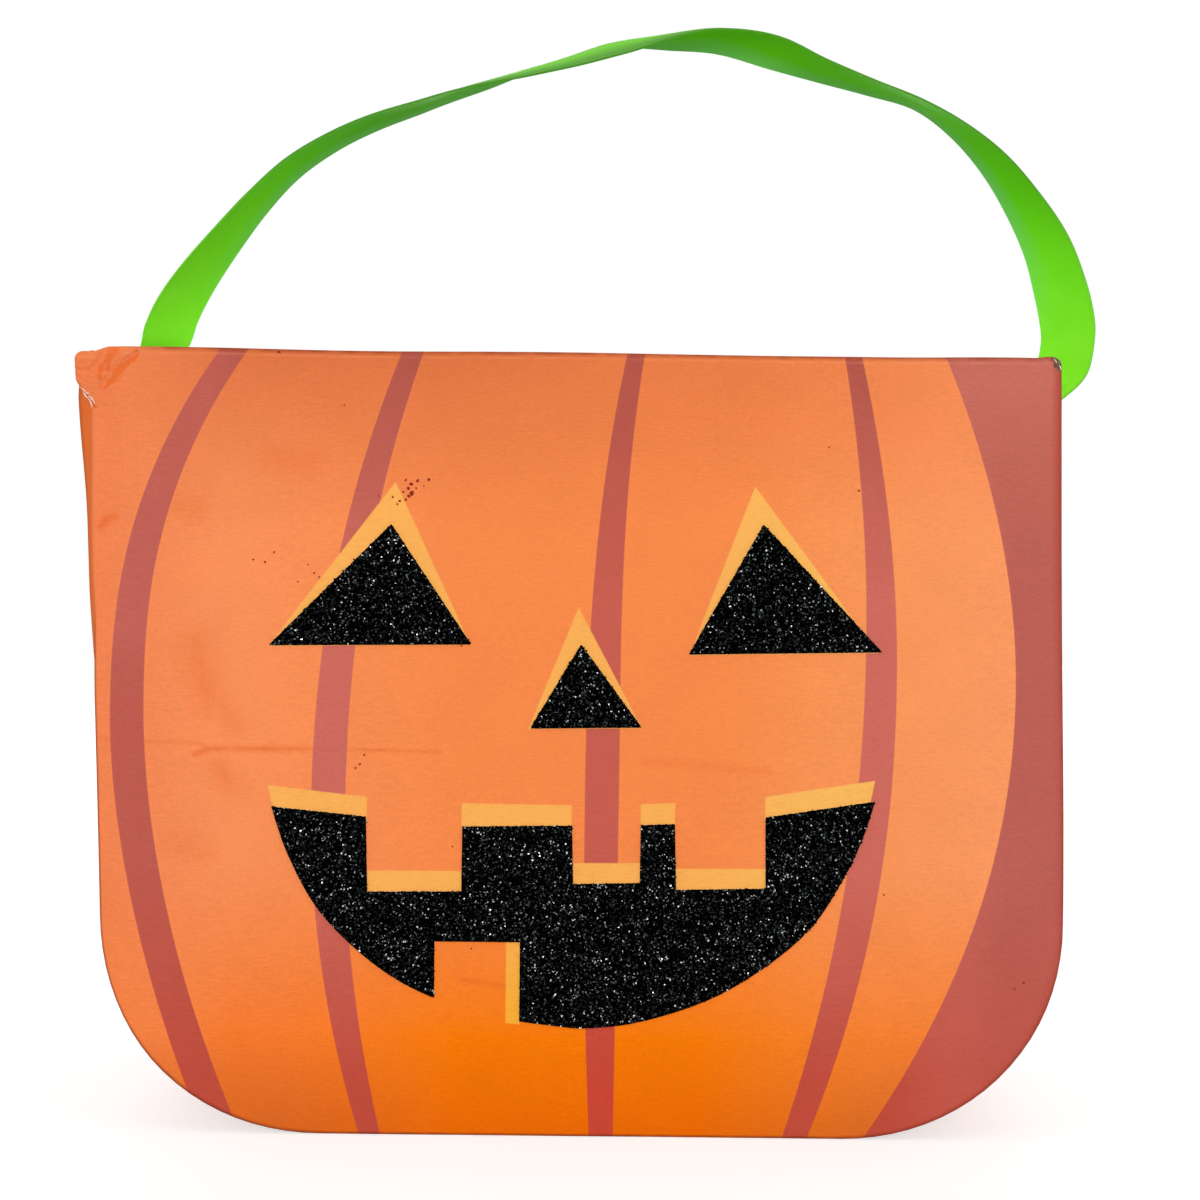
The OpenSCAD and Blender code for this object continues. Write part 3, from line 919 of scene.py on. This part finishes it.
def gusset_shell():
    """Points and faces of the gusset with its rounded top ends, before it is settled."""
    half_t = GUSSET_T / 2
    brim = BAG_H - half_t
    turns = [math.pi * i / (CAP_POINTS + 1) for i in range(1, CAP_POINTS + 1)]

    def section(shrink):
        middle = half_width(brim) - half_t
        radius = half_t - shrink
        cap = [(middle + radius * math.cos(a), brim + radius * math.sin(a)) for a in turns]
        other_cap = [(-x, z) for x, z in cap[::-1]]
        return strip_line(shrink, brim) + cap + strip_line(GUSSET_T - shrink, brim)[::-1] + other_cap

    plain = np.linspace(PUFFED_DEPTHS[-1] + 2, -GUSSET_Y - GUSSET_SOFT, 26)
    depths = [GUSSET_Y, GUSSET_Y + GUSSET_SOFT, *PUFFED_DEPTHS, *plain, -GUSSET_Y]
    points, edge = [], []
    for y in depths:
        for x, z in section(GUSSET_SOFT if abs(y) == -GUSSET_Y else 0):
            points.append((x, y, z))
            edge.append(max(0, 1 - min(BAG_H - z, abs(abs(y) + GUSSET_Y)) / 3))
    index = np.arange(len(points)).reshape(len(depths), -1)
    faces = quads(index, True)
    line = len(strip_line(0, brim))
    inner = line + CAP_POINTS
    for row in (index[0], index[-1]):
        faces += quads(np.stack([row[:line], row[inner:inner + line][::-1]]))
        faces.append(row[line - 1:inner + 1].tolist())
        faces.append(row[inner + line - 1:].tolist() + [int(row[0])])
    return np.array(points), faces, np.array(edge)


def punch(piece):
    """Cuts the two ribbon holes through a piece."""
    form = bmesh.new()
    radius = HOLE_R * MM
    bmesh.ops.create_cone(form, cap_ends=True, segments=40, radius1=radius, radius2=radius, depth=0.4)
    drill = add_piece(bpy.data.meshes.new("drill"), form, [], 0)
    drill.rotation_euler = (0, math.radians(90), 0)
    drill.location = (0, 0, HOLE_Z * MM)
    cut = piece.modifiers.new("cut", "BOOLEAN")
    cut.object = drill
    cut.solver = "EXACT"
    graph = bpy.context.evaluated_depsgraph_get()
    made = bpy.data.meshes.new_from_object(piece.evaluated_get(graph))
    piece.modifiers.clear()
    piece.data = made
    bpy.data.objects.remove(drill)


gusset_points, gusset_faces, gusset_edge = gusset_shell()
gusset = make_mesh("gusset_print_strip", settle(gusset_points), gusset_faces, [gusset_paper])
mark(gusset, "edge", gusset_edge)
punch(gusset)
place_piece(gusset, "printed_paper", "gusset_wrap")


# Hidden and inner layers keep their CAD form, settled with the rest

def settled_copy(node, name, material, slot, step, waves=0, puffed=False):
    """A copy of a CAD solid, cut into steps and moved as the bag has settled."""
    form = bmesh.new()
    form.from_mesh(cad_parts[node].data)
    bmesh.ops.remove_doubles(form, verts=form.verts, dist=1e-6)
    low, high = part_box(node)
    for axis in range(3):
        normal = Vector((0, 0, 0))
        normal[axis] = 1
        cuts = np.arange(low[axis] / MM + step, high[axis] / MM, step)
        if puffed and axis == 1:
            cuts = np.concatenate([PUFFED_DEPTHS, cuts[cuts > PUFFED_DEPTHS[-1]]])
        for cut in cuts:
            every = form.verts[:] + form.edges[:] + form.faces[:]
            bmesh.ops.bisect_plane(form, geom=every, plane_co=normal * float(cut) * MM, plane_no=normal)
    points = np.array([v.co for v in form.verts]) / MM
    # The card ends a little short of the boards, clear of the bowed papers
    if node == "gusset_board":
        points[:, 1] *= 0.985
    moved = settle(points)
    # The front board is thinner and lower under the crumpled corner
    if node == "front_board":
        left_top = ramp(-points[:, 0], 92, 106) * ramp(points[:, 2], 96, 116)
        moved[:, 1] += 1.5 * left_top * (points[:, 1] < PANEL_IN - 1)
        moved[:, 0] += 0.6 * left_top
        moved[:, 2] -= 1.8 * ramp(-points[:, 0], 111, 116) * ramp(points[:, 2], 178, 189)
    if waves:
        inward = np.sign(-points[:, 1]) * (np.abs(points[:, 1]) > -GUSSET_Y - 1)
        moved[:, 1] += inward * waves * np.abs(soft_noise(points, 30, 8))
    for vert, at in zip(form.verts, moved * MM):
        vert.co = at
    return place_piece(add_piece(bpy.data.meshes.new(name), form, [material], 35), slot, node)


settled_copy("front_board", "front_core", board_paper, "grey_board", 12)
settled_copy("back_board", "back_core", board_paper, "grey_board", 12)
settled_copy("gusset_board", "gusset_core", board_paper, "grey_board", 6, puffed=True)
settled_copy("front_stay_tape", "front_tape", tape_paper, "stay_tape", 6, puffed=True)
settled_copy("back_stay_tape", "back_tape", tape_paper, "stay_tape", 6)
settled_copy("front_liner", "front_lining", lining_paper, "lining_paper", 6, 0.08)
settled_copy("back_liner", "back_lining", lining_paper, "lining_paper", 6, 0.08)
settled_copy("gusset_liner", "gusset_lining", lining_paper, "lining_paper", 6, puffed=True)


# Glitter pieces: coarse grain, a ragged outline, and a card edge that is pale in places at the upper left

GRAIN = 0.4
CARD_T = 0.22
# Shares of the grains, from black to silver; the grey and silver grains carry painted sparkle in their colour
GRAIN_SHARES = [0.825, 0.105, 0.042, 0.019, 0.009]
CARD_KIND = len(GRAIN_SHARES)


def closed_steps(corners, step):
    """Points round a closed outline, no further apart than step."""
    points = []
    for (x0, z0), (x1, z1) in zip(corners, corners[1:] + corners[:1]):
        count = max(1, round(math.hypot(x1 - x0, z1 - z0) / step))
        points += [(x0 + (x1 - x0) * i / count, z0 + (z1 - z0) * i / count) for i in range(count)]
    return np.array(points)


def outward_of(loop):
    """Unit outward directions of an anticlockwise loop."""
    run = np.roll(loop, -1, 0) - np.roll(loop, 1, 0)
    normal = np.stack([run[:, 1], -run[:, 0]], 1)
    return normal / np.linalg.norm(normal, axis=1)[:, None]


def inside_loop(loop, places):
    """Which places lie inside the loop, and further than half a grain from it."""
    within = np.zeros(len(places), bool)
    near = np.full(len(places), np.inf)
    for (a, b), (c, d) in zip(loop, np.roll(loop, -1, 0)):
        crosses = (b > places[:, 1]) != (d > places[:, 1])
        if b != d:
            within ^= crosses & (places[:, 0] < (c - a) * (places[:, 1] - b) / (d - b) + a)
        near = np.minimum(near, np.hypot(places[:, 0] - a, places[:, 1] - b))
    return within & (near > GRAIN * 0.5)


def fill(places, ring):
    """Triangles that fill a ring of edges, with any places inside it."""
    return delaunay_2d_cdt([Vector(p) for p in places], ring, [], 1, 1e-5)


def glitter_piece(name, node, corners, seed):
    picks = np.random.default_rng(seed)
    loop = closed_steps(corners, GRAIN * 0.8)
    count = len(loop)
    outward = outward_of(loop)
    upper = ramp(outward[:, 1], -0.2, 0.3)
    ragged = 0.05 + 0.15 * np.maximum(upper, ramp(outward[:, 0], 0.3, 0.6))
    rough_loop = loop + outward * (ragged * picks.normal(0, 1, count))[:, None]
    low, high = loop.min(0), loop.max(0)
    cells = []
    for i, z in enumerate(np.arange(low[1], high[1], GRAIN * 0.86)):
        x = np.arange(low[0] + (i % 2) * GRAIN / 2, high[0], GRAIN)
        cells.append(np.stack([x, np.full(len(x), z)], 1))
    cells = np.concatenate(cells)
    cells += picks.uniform(-0.32, 0.32, cells.shape) * GRAIN
    cells = cells[inside_loop(rough_loop, cells)]
    ring = [(i, (i + 1) % count) for i in range(count)]
    top = fill(np.concatenate([rough_loop, cells]), ring)
    places = np.array([tuple(v) for v in top[0]])
    lift = picks.uniform(0.3, 0.72, len(places))
    lift[:count] = picks.uniform(0.24, 0.5, count)
    card = loop + outward * (0.1 + picks.normal(0, 0.02, count))[:, None]
    foot = loop + outward * (0.14 + picks.normal(0, 0.03, count))[:, None]
    pale = (upper > 0.5) & (outward[:, 0] < 0.2) & (picks.uniform(0, 1, count) < 0.45)
    points = []
    for flat, raised in ((places, lift), (card, CARD_T), (foot, -0.02)):
        points.append(np.stack([flat[:, 0], front_surface(flat) - raised, flat[:, 1]], 1))
    first_card = len(places)
    first_foot = first_card + count
    faces = [list(f) for f in top[2]]
    kinds = picks.choice(len(GRAIN_SHARES), len(faces), p=GRAIN_SHARES).tolist()
    for i, j in ring:
        faces.append([i, first_card + i, first_card + j, j])
        faces.append([first_card + i, first_foot + i, first_foot + j, first_card + j])
        kinds += [0, CARD_KIND if pale[i] else 0]
    under = fill(foot, ring)
    faces += [[first_foot + i for i in f[::-1]] for f in under[2]]
    kinds += [CARD_KIND] * len(under[2])
    piece = make_mesh(name, np.concatenate(points), faces, grain_and_sparkle_paints + [card_edge], 0)
    piece.data.polygons.foreach_set("material_index", kinds)
    return place_piece(piece, "black_glitter", node)


GRIN_LOW = [
    (-75.2, 80.2), (-71, 68.4), (-63.4, 55), (-51.4, 43.3), (-38.8, 35.5), (-22, 29.8), (-6, 27.4), (3, 26.9),
    (16.1, 28.7), (32.4, 34.2), (46.4, 42.6), (57.5, 52.5), (65.5, 65.3), (69.8, 75), (72.3, 82.9),
]
GRIN_TOP = [
    (45.8, 78.8), (46, 61.3), (23.8, 60.8), (23.4, 76.9), (15.3, 76.6), (15.2, 62.4),
    (-1.4, 62), (-1.8, 76.3), (-28.4, 75.8), (-28.5, 59.9), (-51.8, 59.6), (-52.3, 78),
]
LOWER_TOOTH = (-35.2, -14, 47.8)


def grin_outline():
    """The grin, anticlockwise from its left corner: lower curve with the tooth notch, then the teeth."""
    left, right, notch_top = LOWER_TOOTH
    low = [tuple(along(GRIN_LOW, u)) for u in np.linspace(0, len(GRIN_LOW) - 1, 120)]
    across, heights = zip(*low)
    foot_left, foot_right = np.interp([left, right], across, heights)
    notch = [(left, foot_left), (left, notch_top), (right, notch_top), (right, foot_right)]
    before = [p for p in low if p[0] < left - 0.4]
    after = [p for p in low if p[0] > right + 0.4]
    return before + notch + after + GRIN_TOP


glitter_piece("left_eye_piece", "left_eye_glitter", [(-76.2, 119.9), (-27, 120.6), (-46.7, 149.6)], 11)
glitter_piece("right_eye_piece", "right_eye_glitter", [(26.6, 118.7), (73.6, 119.7), (44.5, 150.4)], 12)
glitter_piece("nose_piece", "nose_glitter", [(-12, 100.2), (14.9, 100.7), (0.1, 120.6)], 13)
glitter_piece("grin_piece", "mouth_glitter", grin_outline(), 14)


# Specks of dirt stuck on the front: across, height and size

SPECKS = [
    (-43.2, 160.6, 0.35), (-41.9, 159.6, 0.5), (-40.3, 160.4, 0.5), (-37.6, 160.7, 0.45),
    (-42.6, 158.5, 0.55), (-41.7, 157.3, 0.7), (-42.4, 156.6, 0.5), (-43.8, 157.7, 0.35),
    (-44.6, 155.4, 0.4), (-45.2, 154.6, 0.3), (-43.2, 155.8, 0.35), (-46.4, 156.4, 0.3),
    (-40.6, 158.6, 0.3), (-38.8, 159.2, 0.25), (-49.8, 156.6, 0.25), (-75.3, 142.6, 0.3),
    (-80.4, 140.7, 0.3), (-77.5, 140.2, 0.35), (-66.9, 139.6, 0.25), (-65.4, 137.6, 0.3),
    (-64.2, 136.6, 0.3), (-69.4, 135.4, 0.25), (-29.2, 120.1, 0.3), (-52.7, 93.2, 0.3), (-30.9, 71, 0.25),
    (-26, 46, 0.3), (60.3, 169.7, 0.25), (67.7, 159.1, 0.3), (-74.6, 191.6, 0.4), (-58.5, 178.7, 0.25),
    (74.9, 60.2, 0.3), (109.4, 39, 0.3), (107.2, 37.4, 0.25), (-53.8, 90.9, 0.4), (-54.8, 90, 0.3),
]
SPECK_SIDES = 7
# Rings of a speck: depth against the paper, and share of its width
SPECK_RINGS = ((0.05, 1.0), (-0.08, 0.9), (-0.16, 0.45))


def speck(x, z, size, picks):
    """A small irregular crumb, closed all round."""
    y = float(front_surface([(x, z)])[0])
    turns = np.linspace(0, 2 * math.pi, SPECK_SIDES, endpoint=False) + picks.uniform(0, 1)
    reach = size * picks.uniform(0.6, 1.2, SPECK_SIDES)
    ring = np.stack([reach * np.cos(turns), 0 * turns, reach * np.sin(turns)], 1)
    path = np.array([(x, y + depth, z) for depth, share in SPECK_RINGS])
    return swept(path, lambda i, ahead: ring * SPECK_RINGS[i][1])


speck_picks = np.random.default_rng(21)
speck_points, speck_faces = joined([speck(*row, speck_picks) for row in SPECKS])
place_piece(make_mesh("front_specks", speck_points, speck_faces, [speck_paint], 30), "printed_paper")


# Ribbon: one satin strip, gathered in the holes

ROUTE_END = len(ROUTE) - 1
NECK_STEPS = 5
# Width lost to the curl of the two edges
RIBBON_CURL = 0.3
PLEAT_DEPTH = 1.5


def wall_shift(side):
    """How far the settled side wall lies from its true place at the holes."""
    hole = np.array([[side * half_width(HOLE_Z), 0, HOLE_Z]], float)
    return float((settle(hole) - hole)[0, 0])


def ribbon_frame(u):
    """Middle, direction, turn and spread of the ribbon along its route; it runs on inside the holes."""
    ahead = np.array([-1.0, 0, 0])
    if u < 0 or u > ROUTE_END:
        side = -1 if u < 0 else 1
        depth = (-u if u < 0 else u - ROUTE_END) * (NECK_END - KNOT_FACE)
        middle = np.array([side * (NECK_END - depth) + wall_shift(side), 0, HOLE_Z])
        return middle, ahead, TURNS[0 if u < 0 else -1], 0.0
    t = min(1, u / LEFT_GATHER, (ROUTE_END - u) / RIGHT_GATHER)
    spread = t * t * (3 - 2 * t)
    x, rise = along(ROUTE, u)
    x += wall_shift(-1 if u < ROUTE_END / 2 else 1) * (1 - spread)
    middle = np.array([x, 0, HOLE_Z + rise])
    if 0 < u < ROUTE_END:
        before, after = along(ROUTE, max(0, u - 0.05)), along(ROUTE, min(ROUTE_END, u + 0.05))
        ahead = np.array([after[0] - before[0], 0, after[1] - before[1]])
        ahead /= np.linalg.norm(ahead)
    return middle, ahead, float(along([(a,) for a in TURNS], u)[0]), spread


def ribbon_strip():
    """Points, faces, their materials, and each point's place along and over the ribbon."""
    over = np.linspace(-1, 1, 25)
    steps = [-1 + i / NECK_STEPS for i in range(NECK_STEPS)]
    steps += list(np.arange(0, ROUTE_END + 1e-6, 0.1))
    steps += [ROUTE_END + (i + 1) / NECK_STEPS for i in range(NECK_STEPS)]
    upper, lower, lengths = [], [], []
    length, last = 0.0, None
    for u in steps:
        middle, ahead, turn, spread = ribbon_frame(u)
        outward = np.array([-ahead[2], 0, ahead[0]])
        turn = math.radians(turn)
        across = math.cos(turn) * outward + math.sin(turn) * np.array([0, 1.0, 0])
        through = np.cross(ahead, across)
        width = 2 * NECK_R + (RIBBON_W - RIBBON_CURL - 2 * NECK_R) * spread
        pleat = PLEAT_DEPTH * (1 - spread) ** 1.5 * np.sin(over * math.pi * 3.5 + 0.6)
        pleat *= np.sqrt(np.clip(1.05 - over ** 2 * (1 - spread), 0.05, 1))
        x = middle[0]
        cupped = 0.5 + 0.8 * ramp(x, -44, -24) + 1.1 * ramp(x, -12, 6) - 1.9 * ramp(x, 34, 62)
        drop = 0.65 - 0.3 * ramp(x, -44, -24) * (1 - ramp(x, -12, 6)) + 0.35 * ramp(x, 14, 36)
        drop += 0.8 * ramp(x, -115, -100) * (1 - ramp(x, -60, -44))
        curl = cupped * spread * (over ** 2 - drop)
        thick = RIBBON_T / 2 * (1 + 0.35 * ramp(np.abs(over), 0.93, 0.99))
        spine = middle + np.outer(over * width / 2, across) + np.outer(pleat + curl, through)
        upper.append(spine + np.outer(thick, through))
        lower.append(spine - np.outer(thick, through))
        if last is not None:
            length += np.linalg.norm(middle - last)
        last = middle
        lengths.append(length)
    count, wide = len(steps), len(over)
    top = np.arange(count * wide).reshape(count, wide)
    under = top + count * wide
    walls = []
    for k in (0, -1):
        walls += quads(np.stack([top[:, k], under[:, k]])) + quads(np.stack([top[k], under[k]]))
    faces = quads(top) + quads(under) + walls
    sheet = (count - 1) * (wide - 1)
    kinds = [0] * sheet + [1] * sheet + [2] * len(walls)
    along_mm = np.tile(np.repeat(lengths, wide), 2)
    over_mm = np.tile(over * RIBBON_W / 2, 2 * count)
    return np.concatenate(upper + lower), faces, kinds, along_mm, over_mm


ribbon_points, ribbon_faces, ribbon_kinds, ribbon_along, ribbon_over = ribbon_strip()
ribbon = make_mesh("ribbon_handle", ribbon_points, ribbon_faces, [satin_green, dull_back_and_sheen_green, shaded_wall_green], 50)
ribbon.data.polygons.foreach_set("material_index", ribbon_kinds)
mark(ribbon, "along", ribbon_along)
mark(ribbon, "over", ribbon_over)
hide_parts("ribbon_arch", "left_ribbon_leg", "right_ribbon_leg")
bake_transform(ribbon)


# Knots: the gathered ribbon tied inside each side, with a flat free end

KNOT_SPREAD = 1.28
KNOT_RISE = 2.3
STRAND_R = 1.5
TAIL_L = 15
TAIL_W = 11
TAIL_ROOT = 4
TAIL_POINTS = 11


def knot_piece(name, node, side):
    middle = np.array([side * (KNOT_FACE - 4) + wall_shift(side), 0, HOLE_Z])
    turns = np.linspace(0, 2 * math.pi, 120, endpoint=False)
    flat_x = np.sin(turns) + 2 * np.sin(2 * turns)
    flat_y = np.cos(turns) - 2 * np.cos(2 * turns)
    path = np.stack([-KNOT_RISE * np.sin(3 * turns), KNOT_SPREAD * flat_x, KNOT_SPREAD * flat_y], 1)
    around = np.linspace(0, 2 * math.pi, 20, endpoint=False)

    def strand(i, ahead):
        first, second = tube_axes(ahead, path[i])
        radius = STRAND_R * (1 + 0.1 * np.cos(around * 5 + i * 0.05))
        wide, deep = radius * np.cos(around) * 1.15, radius * np.sin(around) * 0.9
        return np.outer(wide, first) + np.outer(deep, second)

    drop = np.linspace(0, 1, 22)
    sway = 0.6 * np.sin(drop * 4) - 0.5 * drop
    hang = np.stack([sway, 0.5 * np.sin(drop * 3), -3 - (TAIL_L + 1.5) * drop], 1)
    over = np.linspace(-1, 1, TAIL_POINTS)
    loop = np.concatenate([over, over[::-1]])
    face_side = np.repeat([1.0, -1.0], TAIL_POINTS)

    def tail(i, ahead):
        width = TAIL_ROOT + (TAIL_W - TAIL_ROOT) * drop[i] ** 0.7
        pleat = 0.7 * (1 - drop[i]) ** 2 * np.sin(loop * math.pi * 3) + 0.5 * drop[i] * np.cos(loop * 2)
        slant = 1.4 * loop * (drop[i] > 0.97)
        return np.stack([pleat + face_side * RIBBON_T / 2, loop * width / 2, slant], 1)

    points, faces = joined([swept(path, strand, True), swept(hang, tail)])
    points = points * (-side, 1, 1) + middle
    piece = make_mesh(name, points, faces, [satin_green], 50)
    mark(piece, "along", points[:, 2])
    mark(piece, "over", points[:, 1] * 0.6)
    return place_piece(piece, "green_ribbon", node)


knot_piece("left_ribbon_knot", "left_knot", -1)
knot_piece("right_ribbon_knot", "right_knot", 1)


# White fibres at the two torn corners, swept along short curves

FIBRES = [
    [(-123.6, 182.6), (-122.4, 181.9), (-121.2, 180.6)],
    [(-122.6, 181.6), (-121.9, 180.3), (-120.8, 179.4)],
    [(-121.4, 180.4), (-120.4, 179.8), (-119.6, 178.4)],
    [(-121.2, 179.6), (-120.6, 178.6), (-120.4, 177.6)],
    [(-122.1, 180.9), (-121.5, 181.1), (-120.9, 180.9)],
    [(115.2, 192), (115.6, 191.4), (115.9, 190.9)],
    [(116.5, 190.4), (116.8, 189.8), (116.9, 189.2)],
]
FIBRE_STEPS = 9


def fibre(line, picks):
    """A short white thread along a line on the front."""
    around = np.linspace(0, 2 * math.pi, 6, endpoint=False)
    arch = np.sin(np.linspace(0, math.pi, FIBRE_STEPS))
    places = np.array([along(line, u) for u in np.linspace(0, len(line) - 1, FIBRE_STEPS)])
    depth = front_surface(places) - 0.1 - 0.35 * arch * picks.uniform(0.4, 1)
    radius = picks.uniform(0.14, 0.24)

    def thread(i, ahead):
        first, second = tube_axes(ahead, (0, 1, 0))
        taper = radius * (1 - 0.6 * abs(2 * i / (FIBRE_STEPS - 1) - 1))
        return taper * (np.outer(np.cos(around), first) + np.outer(np.sin(around), second))

    return swept(np.stack([places[:, 0], depth, places[:, 1]], 1), thread)


fibre_picks = np.random.default_rng(22)
fibre_points, fibre_faces = joined([fibre(line, fibre_picks) for line in FIBRES])
place_piece(make_mesh("torn_fibres", fibre_points, fibre_faces, [fibre_paint], 60), "printed_paper")


# Floor, world and lamps

FLOOR = 4.0
FLOOR_GLOW = 0.62
AMBIENT = 0.45
WHITE = (1.0, 1.0, 1.0, 1.0)

floor = bpy.data.objects.new("floor", bpy.data.meshes.new("floor"))
floor.data.from_pydata(
    [(-FLOOR, -FLOOR, 0), (FLOOR, -FLOOR, 0), (FLOOR, FLOOR, 0), (-FLOOR, FLOOR, 0)], [], [(0, 1, 2, 3)]
)
scene.collection.objects.link(floor)
floor_white = bpy.data.materials.new("floor_white")
floor_nodes = Nodes(floor_white)
floor_nodes.show("OutputMaterial", floor_nodes.node("BsdfPrincipled", {
    "Roughness": 0.9,
    "Base Color": (0.55, 0.55, 0.55, 1.0),
    "Emission Color": WHITE,
    "Emission Strength": floor_nodes.times(floor_nodes.seen(), FLOOR_GLOW),
}))
floor.data.materials.append(floor_white)

world = bpy.data.worlds.new("studio")
scene.world = world
sky = Nodes(world)
sky_level = sky.node("MapRange", {"Value": sky.seen(), "To Min": AMBIENT, "To Max": 1.0}).outputs["Result"]
sky.show("OutputWorld", sky.node("Background", {"Color": WHITE, "Strength": sky_level}))


def sun(name, toward, softness, strength):
    light = bpy.data.lights.new(name, "SUN")
    light.angle = math.radians(softness)
    light.energy = strength
    made = bpy.data.objects.new(name, light)
    made.rotation_euler = Vector(toward).to_track_quat("-Z", "Y").to_euler()
    scene.collection.objects.link(made)


sun("key", (0, 0.98, -0.2), 40, 1.5)
sun("right", (-0.97, 0.25, -0.05), 60, 0.85)
sun("left", (0.97, 0.25, -0.05), 60, 0.6)
sun("back", (0, -0.99, -0.12), 40, 1.7)
sun("top", (0, 0.1, -1), 60, 0.3)
